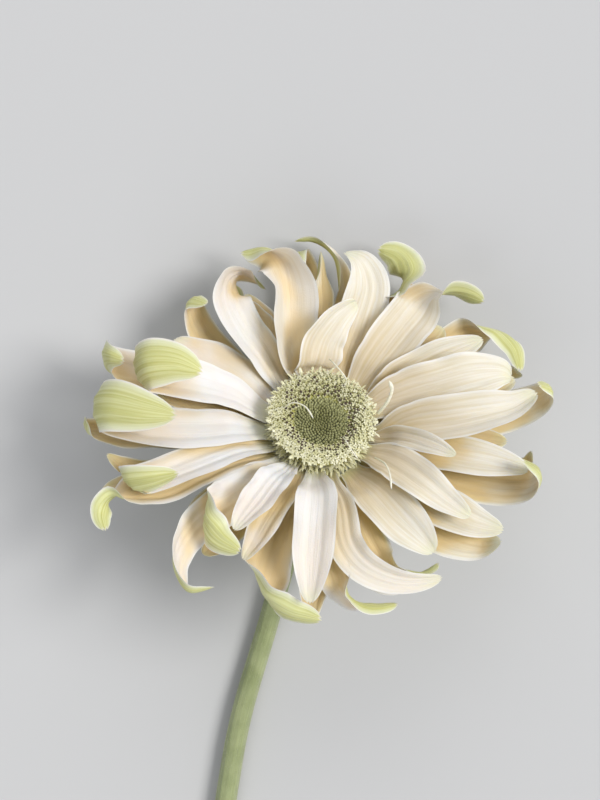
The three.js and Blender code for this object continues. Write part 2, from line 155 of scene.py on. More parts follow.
def head_frame():
    """Middle and axes of the flower head, from the ring of florets on its disc."""
    points, _ = cad_mesh("disc_florets")
    middle = points.mean(axis=0)
    _, _, axes = np.linalg.svd(points - middle)
    normal = axes[2] if axes[2][2] > 0 else -axes[2]
    lowest = ((points - middle) @ normal).min()
    origin = middle + normal * (lowest - DISC_FLOOR)
    turn = Vector((0, 0, 1)).rotation_difference(Vector(normal))
    x_axis = np.array(turn @ Vector((1, 0, 0)))
    y_axis = np.array(turn @ Vector((0, 1, 0)))
    return origin, np.array([x_axis, y_axis, normal])


HEAD, HEAD_AXES = head_frame()


def to_world(points):
    """Turns points of the head's own frame, in metres, into the model's frame."""
    return HEAD + np.asarray(points, dtype=float) @ HEAD_AXES


def way_round(points, joined, ring):
    """The points of a petal's first ring in the order in which they follow each other round it."""
    start = max(ring, key=lambda p: len(joined[p] & set(ring)))
    near = [p for p in ring if p != start]
    last = min(near, key=lambda p: np.linalg.norm(points[p] - points[start]))
    order = [start]
    remaining = set(ring) - {start, last}
    while remaining:
        reached = [p for p in remaining if p in joined[order[-1]]]
        if order[-1] == start:
            reached = [p for p in reached if len(joined[p] & set(ring)) == 2] or reached
        step = min(reached, key=lambda p: np.linalg.norm(points[p] - points[order[-1]]))
        order.append(step)
        remaining.discard(step)
    order.append(last)
    return order


def petal_cage(node):
    """For each ring of a petal's solid: its middle, half its width as a vector to the left, and how far
    the ring's edges stand over its middle."""
    points, joined = cad_mesh(node)
    local = (points - HEAD) @ HEAD_AXES.T
    reach = np.hypot(local[:, 0], local[:, 1])
    layers = ring_layers(joined, np.argsort(reach)[:PETAL_CORNERS].tolist())
    order = way_round(points, joined, layers[0])
    cage = [points[order]]
    for layer in layers[1:]:
        following = [None] * PETAL_CORNERS
        for point in layer:
            below = joined[point] & set(order)
            for side in range(PETAL_CORNERS):
                if order[side] in below and order[side - 1] in below:
                    following[side] = point
        order = following
        cage.append(points[order])
    cage = np.array(cage)
    middle = (cage[:, 1] + cage[:, 4]) / 2
    right = (cage[:, 0] + cage[:, 5]) / 2
    left = (cage[:, 2] + cage[:, 3]) / 2
    side = (left - right) / 2
    face = unit(cage[:, 4] - cage[:, 1])
    lift = (((left + right) / 2 - middle) * face).sum(axis=1)
    return middle, side, lift


def smooth_through(stations, values, where):
    """Cubic curve through values at the stations, read at where."""
    values = np.asarray(values, dtype=float)
    flat = values.reshape(len(values), -1)
    gaps = np.diff(stations)[:, None]
    slopes = np.diff(flat, axis=0) / gaps
    tangents = np.empty_like(flat)
    tangents[1:-1] = (slopes[:-1] * gaps[1:] + slopes[1:] * gaps[:-1]) / (gaps[1:] + gaps[:-1])
    tangents[0] = slopes[0]
    tangents[-1] = slopes[-1]
    span = np.clip(np.searchsorted(stations, where, side="right") - 1, 0, len(stations) - 2)
    width = gaps[span]
    t = (where[:, None] - np.asarray(stations)[span][:, None]) / width
    result = (
        (2 * t**3 - 3 * t**2 + 1) * flat[span]
        + (t**3 - 2 * t**2 + t) * width * tangents[span]
        + (3 * t**2 - 2 * t**3) * flat[span + 1]
        + (t**3 - t**2) * width * tangents[span + 1]
    )
    return result.reshape((len(where),) + values.shape[1:])


# ---- mesh helpers -------------------------------------------------------------------------------------


class Body:
    """Points, faces and per-point values of one piece, put together from closed bodies."""

    def __init__(self):
        self.points = []
        self.faces = []
        self.values = {}

    def add(self, points, faces, **values):
        start = len(self.points)
        self.points.extend(tuple(p) for p in points)
        self.faces.extend(tuple(start + v for v in face) for face in faces)
        for name, value in values.items():
            store = self.values.setdefault(name, [])
            store.extend(np.broadcast_to(value, len(points)).tolist())

    def piece(self, name, material, slot, *nodes, sharp=50):
        """Makes the object, which rides on the root body and stands for the nodes, where any are given.
        Edges that bend by more than sharp degrees stay sharp."""
        mesh = bpy.data.meshes.new(name)
        mesh.from_pydata(self.points, [], self.faces)
        for value_name, value in self.values.items():
            layer = mesh.attributes.new(value_name, "FLOAT", "POINT")
            layer.data.foreach_set("value", value)
        mesh.polygons.foreach_set("use_smooth", [True] * len(mesh.polygons))
        mesh.set_sharp_from_angle(angle=math.radians(sharp))
        mesh.materials.append(material)
        mesh.update()
        made = bpy.data.objects.new(name, mesh)
        bpy.context.scene.collection.objects.link(made)
        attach(made, "root")
        if nodes:
            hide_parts(*nodes)
        return made


def blade_face(middle, side):
    """For each row of a blade, the direction in which its upper face looks."""
    return unit(np.cross(np.gradient(middle, axis=0), side))


def leaf(middle, side, face, bulge, thickness, columns, tip_teeth=0.0):
    """A thin closed blade. middle, side (half its width) and face are given for each row of points,
    bulge is the height over the middle for each row and column, and thickness is at the midrib.
    Returns its points, its faces, and for each point how far along, across and whether on the upper face."""
    rows = len(middle)
    across = np.linspace(-1, 1, columns)
    along = np.linspace(0, 1, rows)
    cut = 1 - tip_teeth * (0.5 - 0.5 * np.cos(3 * np.pi * across)) - tip_teeth * across**2
    base = middle[:, None] + side[:, None] * across[None, :, None] + face[:, None] * bulge[:, :, None]
    if tip_teeth:
        shorter = np.empty_like(base)
        for column in range(columns):
            shorter[:, column] = smooth_through(along, base[:, column], along * cut[column])
        base = shorter
    swell = (1 - across**4)[None, :] * np.sin(np.clip(along / 0.06, 0, 1) * np.pi / 2)[:, None]
    swell = swell * np.sin(np.clip((1 - along) / 0.04, 0, 1) * np.pi / 2)[:, None]
    half = face[:, None] * (swell * thickness / 2)[:, :, None]
    rim = np.zeros((rows, columns), dtype=bool)
    rim[0] = rim[-1] = True
    rim[:, 0] = rim[:, -1] = True
    upper_index = np.arange(rows * columns).reshape(rows, columns)
    lower_index = upper_index.copy()
    inner = ~rim
    lower_index[inner] = rows * columns + np.arange(inner.sum())
    points = np.concatenate([(base + half).reshape(-1, 3), (base - half)[inner]])
    spread_along = np.broadcast_to(along[:, None], (rows, columns))
    spread_across = np.broadcast_to(across[None, :], (rows, columns))
    alongs = np.concatenate([spread_along.ravel(), spread_along[inner]])
    acrosses = np.concatenate([spread_across.ravel(), spread_across[inner]])
    uppers = np.concatenate([np.ones(rows * columns), np.zeros(inner.sum())])
    faces = []
    for row in range(rows - 1):
        for column in range(columns - 1):
            a, b = upper_index[row, column], upper_index[row, column + 1]
            c, d = upper_index[row + 1, column + 1], upper_index[row + 1, column]
            faces.append((d, c, b, a))
            a, b = lower_index[row, column], lower_index[row, column + 1]
            c, d = lower_index[row + 1, column + 1], lower_index[row + 1, column]
            faces.append((a, b, c, d))
    return points, faces, alongs, acrosses, uppers


def tube(path, radii, sides, ripple=None):
    """A closed tube along a path. The radius of each point is multiplied by ripple(angle, row)."""
    path = np.asarray(path, dtype=float)
    tangents = unit(np.gradient(path, axis=0))
    across = np.cross(tangents[0], [0.3, 0.5, 0.8])
    points = []
    for row, (middle, along) in enumerate(zip(path, tangents)):
        across = unit(across - along * (across @ along))
        other = np.cross(along, across)
        for step in range(sides):
            angle = 2 * math.pi * step / sides
            radius = radii[row] * (ripple(angle, row) if ripple else 1)
            points.append(middle + (across * math.cos(angle) + other * math.sin(angle)) * radius)
    faces = []
    for row in range(len(path) - 1):
        for step in range(sides):
            following = (step + 1) % sides
            a, b = row * sides + step, row * sides + following
            faces.append((a, b, b + sides, a + sides))
    faces.append(tuple(reversed(range(sides))))
    faces.append(tuple((len(path) - 1) * sides + step for step in range(sides)))
    return points, faces


def length_shares(path):
    """How far along the path each of its points lies, from 0 to 1."""
    steps = np.linalg.norm(np.diff(path, axis=0), axis=1)
    total = np.concatenate([[0], np.cumsum(steps)])
    return total / total[-1]


# ---- material helpers ---------------------------------------------------------------------------------


class Nodes:
    """Short forms for building one material's nodes."""

    def __init__(self, name):
        self.material = bpy.data.materials.new(name)
        self.material.use_nodes = True
        self.tree = self.material.node_tree
        self.shader = self.tree.nodes["Principled BSDF"]

    def add(self, kind, **sockets):
        node = self.tree.nodes.new(kind)
        for socket, value in sockets.items():
            self.give(node.inputs[socket], value)
        return node

    def give(self, socket, value):
        if isinstance(value, bpy.types.NodeSocket):
            self.tree.links.new(value, socket)
        else:
            socket.default_value = value

    def value(self, name):
        node = self.tree.nodes.new("ShaderNodeAttribute")
        node.attribute_name = name
        return node.outputs["Fac"]

    def math(self, operation, a, b=0.0):
        node = self.tree.nodes.new("ShaderNodeMath")
        node.operation = operation
        for socket, value in zip(node.inputs, (a, b)):
            self.give(socket, value)
        return node.outputs[0]

    def ramp(self, factor, low, high, out_low=0.0, out_high=1.0):
        node = self.tree.nodes.new("ShaderNodeMapRange")
        node.interpolation_type = "SMOOTHSTEP"
        for socket, value in zip(node.inputs, (factor, low, high, out_low, out_high)):
            self.give(socket, value)
        return node.outputs[0]

    def mix(self, factor, a, b, blend="MIX"):
        node = self.tree.nodes.new("ShaderNodeMix")
        node.data_type = "RGBA"
        node.blend_type = blend
        self.give(node.inputs["Factor"], factor)
        for socket, color in ((MIX_A, a), (MIX_B, b)):
            self.give(node.inputs[socket], (*color, 1) if isinstance(color, tuple) else color)
        return node.outputs[MIX_RESULT]

    def noise(self, scale, detail=3.0, vector=None):
        node = self.add("ShaderNodeTexNoise", Scale=scale, Detail=detail)
        self.give(node.inputs["Vector"], vector if vector is not None else self.place())
        return node.outputs["Fac"]

    def place(self):
        return self.tree.nodes.new("ShaderNodeTexCoord").outputs["Object"]

    def lengthwise(self, along, across, tone, along_scale, across_scale):
        """A place for noise that is drawn out along a petal and differs from petal to petal."""
        return self.vector(
            self.math("MULTIPLY", along, along_scale),
            self.math("MULTIPLY", across, across_scale),
            self.math("MULTIPLY", tone, 60.0),
        )

    def vector(self, x, y, z):
        return self.add("ShaderNodeCombineXYZ", X=x, Y=y, Z=z).outputs[0]

    def bump(self, height, distance, strength=1.0):
        node = self.add("ShaderNodeBump", Strength=strength, Distance=distance, Height=height)
        self.give(self.shader.inputs["Normal"], node.outputs[0])

    def finish(self, color, roughness, subsurface=0.0, sheen=0.0):
        self.give(self.shader.inputs["Base Color"], color)
        self.give(self.shader.inputs["Roughness"], roughness)
        self.shader.inputs["Specular IOR Level"].default_value = 0.35
        self.shader.inputs["Subsurface Weight"].default_value = subsurface
        self.shader.inputs["Subsurface Radius"].default_value = (1.0, 0.8, 0.45)
        self.shader.inputs["Subsurface Scale"].default_value = 1.2 * MM
        self.shader.inputs["Sheen Weight"].default_value = sheen
        self.shader.inputs["Sheen Roughness"].default_value = 0.5
        return self.material


def petal_material():
    """White petals on one side of the head, golden ones as painted shade on the other, with fine veins and a
    pale rim
    painted as light through the thin margin: deeper gold painted as shade where other petals hide the sky,
    greener at the claw and the tip, and lime on the back."""
    n = Nodes("petal")
    along, across, upper, tone = (n.value(name) for name in ("along", "across", "upper", "tone"))
    hollow_shade, warmth = n.value("hollow_shade"), n.value("warmth")
    from_midrib = n.math("ABSOLUTE", across)
    streaks = n.noise(1.0, 4.0, n.lengthwise(along, across, tone, 2.2, 9.0))
    fine_streaks = n.noise(1.0, 3.0, n.lengthwise(along, across, tone, 5.0, 34.0))
    blotches = n.noise(90.0, 2.0)
    # upper face: petals on one side of the head are white and blush outwards, the rest golden within as
    # painted shade
    white = n.mix(n.ramp(blotches, 0.35, 0.7), (0.82, 0.82, 0.81), (0.81, 0.76, 0.72))
    blush = n.mix(n.ramp(along, 0.3, 0.8, 0.05, 0.8), white, (0.79, 0.69, 0.60))
    # painted shade: darker golden streaks along the petal stand for shade in its grooves
    groove_shade = n.ramp(streaks, 0.35, 0.68)
    cream = n.mix(n.math("MULTIPLY", groove_shade, 0.4), (0.84, 0.80, 0.71), (0.64, 0.53, 0.32))
    gold = n.mix(n.ramp(streaks, 0.25, 0.8), (0.69, 0.58, 0.43), (0.58, 0.46, 0.26))
    golden = n.mix(n.ramp(along, 0.12, 0.85, 0.05, 0.95), gold, cream)
    # painted shade: petals on the shaded side of the head take the golden colours
    open_face = n.mix(warmth, blush, golden)
    # painted shade: gold mixed in where other petals hide the sky
    hollow_shaded = n.mix(n.ramp(hollow_shade, 0.1, 0.65, 0.0, 0.85), open_face, (0.76, 0.56, 0.27))
    claw = n.mix(n.ramp(along, 0.13, 0.0, 0.0, 0.6), hollow_shaded, (0.68, 0.66, 0.32))
    tip = n.mix(n.math("MULTIPLY", n.ramp(along, 0.86, 1.0), 0.4), claw, (0.72, 0.74, 0.45))
    # painted light: pale rim where light shines through the petal's thin margin
    rim = n.mix(n.ramp(from_midrib, 0.84, 0.98, 0.0, 0.8), tip, (0.90, 0.88, 0.82))
    veins = n.ramp(fine_streaks, 0.56, 0.72)
    front = n.mix(n.math("MULTIPLY", veins, 0.18), rim, (0.62, 0.54, 0.38))
    # lower face
    lime = n.mix(n.ramp(streaks, 0.3, 0.7), (0.51, 0.51, 0.18), (0.66, 0.67, 0.34))
    pale = n.mix(n.ramp(from_midrib, 0.5, 1.0, 0.0, 0.7), lime, (0.80, 0.82, 0.64))
    back_claw = n.mix(n.ramp(along, 0.62, 0.15, 0.0, 0.65), pale, (0.74, 0.68, 0.46))
    back = n.mix(n.math("MULTIPLY", veins, 0.25), back_claw, (0.40, 0.41, 0.14))
    color = n.mix(upper, back, front)
    shade = n.ramp(tone, 0.0, 1.0, 0.93, 1.02)
    color = n.mix(1.0, color, n.vector(shade, shade, shade), "MULTIPLY")
    ribs = n.math("ADD", n.math("MULTIPLY", fine_streaks, 0.7), n.math("MULTIPLY", n.noise(2600.0, 2.0), 0.3))
    n.bump(ribs, 0.22 * MM, 0.7)
    return n.finish(color, n.ramp(fine_streaks, 0.2, 0.8, 0.42, 0.6), subsurface=0.25, sheen=0.12)


def speckled_material(name, ramp_low, ramp_high, dark, subsurface=0.1):
    """A small soft plant part: tint runs from its first colour to its second, and speck turns it dark."""
    n = Nodes(name)
    tint, speck = n.value("tint"), n.value("speck")
    grain = n.noise(1500.0, 3.0)
    color = n.mix(tint, ramp_low, ramp_high)
    color = n.mix(n.ramp(grain, 0.3, 0.75, 0.0, 0.35), color, tuple(0.6 * c for c in ramp_low))
    color = n.mix(speck, color, dark)
    n.bump(grain, 0.2 * MM, 0.6)
    return n.finish(color, 0.6, subsurface=subsurface, sheen=0.1)


def green_material(name, light, dark, lengthwise):
    """Hairy green skin with fine ribs along it."""
    n = Nodes(name)
    along, across = n.value("along"), n.value("across")
    fibre_place = n.vector(n.math("MULTIPLY", along, lengthwise), n.math("MULTIPLY", across, 22.0), 0.0)
    fibres = n.noise(1.0, 4.0, fibre_place)
    patches = n.noise(160.0, 3.0)
    color = n.mix(n.ramp(patches, 0.3, 0.7), light, dark)
    color = n.mix(n.ramp(fibres, 0.45, 0.75, 0.0, 0.45), color, tuple(min(1, 1.5 * c) for c in light))
    color = n.mix(n.value("speck"), color, (0.62, 0.60, 0.42))
    grain = n.math("MULTIPLY", n.noise(2200.0, 2.0), 0.5)
    n.bump(n.math("ADD", fibres, grain), 0.3 * MM, 0.8)
    return n.finish(color, 0.62, subsurface=0.08, sheen=0.35)


# ---- petals -------------------------------------------------------------------------------------------


def petal_relief(dice, rows, lift, half_width):
    """How high a petal stands over its middle, for each row and column: cupped, grooved along and wavy at
    the margins."""
    across = np.linspace(-1, 1, PETAL_COLUMNS)
    keel = dice.uniform(1.1, 1.8)
    bulge = keel * lift[:, None] * np.abs(across)[None, :] ** 1.5
    groove_place = 0.34 + dice.uniform(-0.05, 0.08)
    grooves = sum(np.exp(-(((across - hand * groove_place) / 0.16) ** 2)) for hand in (-1, 1))
    grooves = grooves + dice.uniform(0.3, 1.1) * np.exp(-((across / 0.14) ** 2))
    blade = np.sin(np.clip(rows * 1.02, 0, 1) * np.pi) ** 0.5
    bulge = bulge - VEIN_DEPTH * blade[:, None] * grooves[None, :]
    waves = dice.uniform(2.2, 4.2)
    for hand in (-1, 1):
        start = dice.uniform(0, 2 * math.pi)
        edge = np.clip(across * hand, 0, 1) ** 3
        ripple = np.sin(rows * waves * 2 * math.pi + start) + 0.4 * np.sin(rows * waves * 5.1 + start * 2)
        bulge = bulge + EDGE_WAVE * (blade * ripple)[:, None] * edge[None, :]
    return bulge * np.clip(half_width / FULL_RELIEF, 0, 1)[:, None]


def petal_body(node):
    """One petal over its solid, with a three-toothed tip."""
    dice = random.Random(node)
    middle, side, lift = petal_cage(node)
    stations = length_shares(middle)
    rows = np.linspace(0, 1, PETAL_ROWS)
    middle = smooth_through(stations, middle, rows)
    side = smooth_through(stations, side, rows)
    lift = smooth_through(stations, lift[:, None], rows)[:, 0]
    face = blade_face(middle, side)
    tip = np.clip((rows - TIP_START) / (1 - TIP_START), 0, 1)
    claw = 1 - np.clip(rows / CLAW_END, 0, 1) ** 1.5
    outer = node.startswith(("petal_row1", "petal_row2"))
    spread = OUTER_CLAW_SPREAD if outer else INNER_CLAW_SPREAD
    side = side * ((PETAL_WIDENING + spread * claw) * np.sqrt(1 - 0.75 * tip**2))[:, None]
    bulge = petal_relief(dice, rows, lift, np.linalg.norm(side, axis=1))
    points, faces, alongs, acrosses, uppers = leaf(
        middle, side, face, bulge, PETAL_THICKNESS, PETAL_COLUMNS, tip_teeth=0.012
    )
    body = Body()
    # painted shade: petals on one side of the head get a value that turns them golden within
    reach = middle.mean(axis=0) - HEAD
    facing = float(reach[:2] @ np.array(SHADED_SIDE)) / float(np.linalg.norm(reach[:2]))
    warmth = min(1.0, max(0.0, 0.55 + 1.6 * facing + dice.uniform(-0.15, 0.15)))
    body.add(points, faces, along=alongs, across=acrosses, upper=uppers, tone=dice.random(), warmth=warmth)
    return body


def corner_means(faces, count, values):
    """For each of count points, the mean of the values of the faces that meet there."""
    total = np.zeros((count,) + values.shape[1:])
    uses = np.zeros(count)
    for corner in range(faces.shape[1]):
        np.add.at(total, faces[:, corner], values)
        np.add.at(uses, faces[:, corner], 1)
    return total / uses.reshape((-1,) + (1,) * (values.ndim - 1))


def sky_ways():
    """Directions in which a petal's point looks for open sky: straight up from the head, and all round."""
    ways = [HEAD_AXES[2]]
    for step in range(SKY_STEPS):
        angle = 2 * math.pi * step / SKY_STEPS
        out = HEAD_AXES[0] * math.cos(angle) + HEAD_AXES[1] * math.sin(angle)
        ways.append(HEAD_AXES[2] * math.cos(SKY_TILT) + out * math.sin(SKY_TILT))
    return ways


def paint_hollow_shade(bodies):
    """Gives each petal's points a painted shade value: the share of the sky that petals hide from them, which
    the petal colour turns into golden painted shade.
    """
    points = []
    faces = []
    for body in bodies:
        start = len(points)
        points += body.points
        faces += [tuple(start + v for v in face) for face in body.faces]
    tree = BVHTree.FromPolygons(points, faces)
    sky = sky_ways()
    for body in bodies:
        corners = np.array(body.points)
        quads = np.array(body.faces)
        one_way = corners[quads[:, 2]] - corners[quads[:, 0]]
        other_way = corners[quads[:, 3]] - corners[quads[:, 1]]
        normals = np.cross(one_way, other_way)
        normals /= np.linalg.norm(normals, axis=1)[:, None] + 1e-12
        centres = corners[quads].mean(axis=1) + normals * 0.5 * MM
        hidden = np.zeros(len(quads))
        for number, (place, normal) in enumerate(zip(centres, normals)):
            seen = [way for way in sky if way @ normal > 0.1]
            if len(seen) > 3:
                met = sum(tree.ray_cast(place, way, HOLLOW_SHADE_REACH)[0] is not None for way in seen)
                hidden[number] = met / len(seen)
        for _ in range(HOLLOW_SHADE_PASSES):
            hidden = corner_means(quads, len(corners), hidden)[quads].mean(axis=1)
        body.values["hollow_shade"] = corner_means(quads, len(corners), hidden).tolist()


def build_petals():
    material = petal_material()
    nodes = [node for node in sorted(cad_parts) if node.startswith("petal_")]
    bodies = [petal_body(node) for node in nodes]
    paint_hollow_shade(bodies)
    for node, body in zip(nodes, bodies):
        body.piece(node + "_blade", material, "petals", node, sharp=70)


# ---- disc ---------------------------------------------------------------------------------------------


def disc_height(radius):
    """Height of the florets' tops at the radius."""
    radii = [r * MM for r, _ in DISC_HEIGHTS]
    heights = [h * MM for _, h in DISC_HEIGHTS]
    return float(np.interp(radius, radii, heights))


def outward(angle):
    """The direction away from the head's middle at the angle."""
    return np.array([math.cos(angle), math.sin(angle), 0.0])


def bud(body, foot, axis, radius, height, tint, speck):
    """A closed floret bud: a small rounded spindle."""
    shares = [0.0, 0.3, 0.55, 0.78, 0.93, 1.0]
    widths = [0.75, 0.95, 1.0, 0.85, 0.5, 0.12]
    path = [foot + axis * height * share for share in shares]
    points, faces = tube(to_world(path), [radius * w for w in widths], 7)
    body.add(points, faces, tint=tint, speck=[speck * (i // 7 >= 4) for i in range(len(points))])


def lobe(body, foot, out, up, length, half_width, curl, tint, speck=0.0):
    """A strap-shaped lip of an open floret that arches outwards."""
    rows = 6
    shares = np.linspace(0, 1, rows)
    bend = curl * shares
    steps = np.array([out * math.sin(a) + up * math.cos(a) for a in bend]) * (length / (rows - 1))
    middle = foot + np.vstack([np.zeros(3), np.cumsum(steps[1:], axis=0)])
    sideways = np.cross(up, out)
    side = sideways[None, :] * (half_width * np.array([0.8, 1.0, 1.0, 0.9, 0.65, 0.2]))[:, None]
    world = to_world(middle)
    side = side @ HEAD_AXES
    points, faces, *_ = leaf(world, side, blade_face(world, side), np.zeros((rows, 3)), half_width * 0.5, 3)
    body.add(points, faces, tint=tint, speck=speck)


def column(body, foot, axis, height, radius, tint, speck):
    """The stamens and style that stand in an open floret, with a forked tip."""
    path = [foot, foot + axis * height * 0.5, foot + axis * height * 0.85, foot + axis * height]
    points, faces = tube(to_world(path), [radius, radius, radius * 1.25, radius * 0.5], 5)
    body.add(points, faces, tint=tint, speck=[speck * (i >= 5) for i in range(len(points))])


def build_disc():
    """Buds packed in spirals in the middle, then dark stamens, then open cream florets at the rim."""
    dice = random.Random(4)
    buds = Body()
    florets = Body()
    for number in range(FLORET_COUNT):
        share = math.sqrt((number + 0.5) / FLORET_COUNT)
        radius = DISC_RADIUS * FLORET_SPREAD * share
        angle = number * GOLDEN_ANGLE
        out = outward(angle)
        tilt = math.radians(4 + 34 * share**3) + dice.uniform(-0.08, 0.08)
        axis = out * math.sin(tilt) + UP * math.cos(tilt)
        foot = out * radius + UP * (disc_height(radius) - FLORET_DEPTH)
        if radius > BUD_RADIUS:
            build_floret(florets, dice, foot, axis, out, radius)
    for number in range(BUD_COUNT):
        share = math.sqrt((number + 0.5) / BUD_COUNT)
        out = outward(number * GOLDEN_ANGLE + dice.uniform(-0.03, 0.03))
        radius = BUD_RADIUS * share + dice.uniform(-0.08, 0.08) * MM
        axis = unit(out * 0.35 * share + UP)
        foot = out * radius + UP * (disc_height(radius) - FLORET_DEPTH)
        light = min(1, max(0, 0.1 + 0.7 * share + dice.uniform(-0.25, 0.3)))
        height = (1.45 + 0.1 * share) * MM + dice.uniform(-0.08, 0.08) * MM
        bud(buds, foot, axis, (0.3 + 0.08 * share) * MM, height, light, 0.0)
    floor_ring(buds, 0, BUD_RADIUS, -1.2 * MM, 0.3)
    floor_ring(florets, BUD_RADIUS, RING_RADIUS, -0.6 * MM, 0.0)
    build_fringe(florets, dice)
    bud_material = speckled_material("disc_bud", (0.19, 0.19, 0.06), (0.44, 0.44, 0.22), (0.05, 0.03, 0.02))
    floret_material = speckled_material(
        "disc_floret", (0.50, 0.48, 0.14), (0.90, 0.87, 0.64), (0.07, 0.045, 0.03), subsurface=0.15
    )
    buds.piece("disc_bud_field", bud_material, "disc_buds", "disc_buds")
    florets.piece("disc_floret_ring", floret_material, "disc_florets", "disc_florets")
    build_threads()


def build_floret(florets, dice, foot, axis, out, radius):
    """One open floret, longer-lipped and paler the nearer it stands to the rim."""
    rim = (radius - BUD_RADIUS) / (FLORET_SPREAD * DISC_RADIUS - BUD_RADIUS)
    tint = min(1, max(0, 0.5 + 0.35 * rim + dice.uniform(-0.3, 0.25)))
    height = (1.3 + 0.5 * rim) * MM
    path = [foot, foot + axis * height * 0.6, foot + axis * height]
    points, faces = tube(to_world(path), [0.25 * MM, 0.32 * MM, 0.42 * MM], 6)
    florets.add(points, faces, tint=tint * 0.8, speck=0.0)
    mouth = foot + axis * height * 0.95
    twist = dice.uniform(0, 2 * math.pi)
    side = unit(np.cross(axis, out))
    front = np.cross(side, axis)
    for number in range(4):
        angle = twist + number * math.pi / 2
        away = front * math.cos(angle) + side * math.sin(angle)
        lobe(florets, mouth, away, axis, (0.8 + 0.3 * rim) * MM, 0.25 * MM, dice.uniform(1.6, 2.4), tint)
    if rim > 0.5 and dice.random() < 0.75:
        length = dice.uniform(0.7, 2.2) * MM * rim
        way = unit(out + side * dice.uniform(-0.8, 0.8))
        width = dice.uniform(0.28, 0.5) * MM
        lobe(florets, mouth, way, axis, length, width, dice.uniform(1.2, 2.4), tint)
    dark = dice.random() < 1.0 - 1.35 * rim
    height = dice.uniform(0.8, 1.3) * MM
    width = dice.uniform(0.2, 0.32) * MM if dark else 0.13 * MM
    column(florets, mouth - axis * 0.3 * MM, axis, height, width, 0.9, 1.0 if dark else 0.0)


def build_fringe(florets, dice):
    """Soft bristles round the disc's wall, which close the gaps between the petals' claws."""
    for number in range(FRINGE_COUNT):
        out = outward(number * GOLDEN_ANGLE + dice.uniform(-0.05, 0.05))
        foot = out * FRINGE_RADIUS + UP * dice.uniform(-7.5, -3.0) * MM
        way = unit(out + np.cross(UP, out) * dice.uniform(-0.4, 0.4))
        length = dice.uniform(2.0, 4.2) * MM
        lobe(florets, foot, way, UP, length, 0.34 * MM, dice.uniform(1.5, 2.1), dice.uniform(0.35, 0.9))


def floor_ring(body, inner, outer, height, tint):
    """The ground that the florets stand on."""
    sides = 64
    inner = max(inner, 0.001 * MM)
    radii = [inner, inner, outer, outer]
    heights = [DISC_FLOOR, height, height, DISC_FLOOR]
    points = []
    for step in range(sides):
        out = outward(2 * math.pi * step / sides)
        points += [out * r + UP * h for r, h in zip(radii, heights)]
    faces = []
    for step in range(sides):
        following = (step + 1) % sides
        for corner in range(4):
            nearer = (corner + 1) % 4
            faces.append((step * 4 + corner, step * 4 + nearer,
                          following * 4 + nearer, following * 4 + corner))
    body.add(to_world(points), faces, tint=tint, speck=0.0)


def build_threads():
    """Long pale styles that have come loose from the disc, each an arc through listed points."""
    threads = [
        ([(-9.4, 2.2, 1.5), (-7.4, 2.6, 3.6), (-4.4, 1.4, 4.2), (-2.2, -1.0, 2.6)], 0.19),
        ([(2.2, 15.4, 3.4), (3.0, 12.6, 6.0), (4.6, 10.8, 5.6), (6.4, 9.8, 3.0)], 0.20),
        ([(5.0, -5.6, 1.6), (5.4, -8.0, 4.2), (6.6, -10.2, 4.0), (8.4, -11.6, 2.0)], 0.16),
        ([(12.6, -11.0, 1.6), (14.6, -14.4, 4.8), (15.4, -18.0, 5.8), (15.6, -21.2, 5.2)], 0.22),
        ([(14.0, 1.6, 1.0), (16.2, 3.4, 4.6), (16.8, 5.4, 7.2), (16.0, 6.6, 8.6)], 0.45),
    ]
    styles = Body()
    for route, radius in threads:
        route = np.array(route) * MM
        path = smooth_through(length_shares(route), route, np.linspace(0, 1, 16))
        stations = [0, 0.7, 0.9, 1]
        radii = np.interp(np.linspace(0, 1, 16), stations, [radius, radius * 0.9, radius * 1.3, 0.05]) * MM
        points, faces = tube(to_world(path), radii, 7)
        styles.add(points, faces, tint=[(i // 7) / 16 for i in range(len(points))], speck=0.0)
    style_material = speckled_material(
        "loose_style", (0.74, 0.72, 0.52), (0.90, 0.87, 0.76), (0.3, 0.2, 0.1), subsurface=0.2
    )
    styles.piece("loose_styles", style_material, "disc_florets")


# ---- cup of bracts ------------------------------------------------------------------------------------


def cup_point(share, angle, lift):
    """A point of the cup's outside: share 0 at the neck, 1 at the shoulder, lift outwards in metres."""
    profile = np.array(CUP_PROFILE) * MM
    shares = length_shares(profile)
    radius = float(np.interp(share, shares, profile[:, 0]))
    height = float(np.interp(share, shares, profile[:, 1]))
    slope = math.radians(40 + 45 * share)
    radius += lift * math.sin(slope)
    height -= lift * math.cos(slope)
    return outward(angle) * radius + UP * height


def build_bract(body, dice, angle, start, stop, half_width, lift, reach):
    """A hairy pointed bract that hugs the cup and runs on past its shoulder by reach."""
    rows = 14
    hug = [cup_point(s, angle, lift) for s in np.linspace(start, stop, 8)]
    if reach:
        last = hug[-1]
        hug += [last + outward(angle) * reach * s + UP * 0.9 * MM * s for s in (0.5, 1.0)]
    hug = np.array(hug)
    middle = smooth_through(length_shares(hug), hug, np.linspace(0, 1, rows))
    shares = np.linspace(0, 1, rows)
    widths = half_width * np.sin(np.pi * (0.16 + 0.84 * shares) ** 0.8) ** 0.8 + 0.02 * MM
    sideways = np.array([-math.sin(angle), math.cos(angle), 0.0])
    world = to_world(middle)
    side = (sideways[None, :] * widths[:, None]) @ HEAD_AXES
    columns = 7
    across = np.linspace(-1, 1, columns)
    keel = 0.12 * MM * np.exp(-((across / 0.2) ** 2))
    bulge = (0.25 * widths)[:, None] * across[None, :] ** 2 - keel[None, :]
    face = blade_face(world, side)
    points, faces, alongs, acrosses, _ = leaf(world, side, face, bulge, 0.5 * MM, columns)
    tint = np.clip(alongs * 0.5 + dice.uniform(-0.1, 0.1), 0, 1)
    body.add(points, faces, along=alongs, across=acrosses + dice.random() * 9, speck=0.25 * tint)


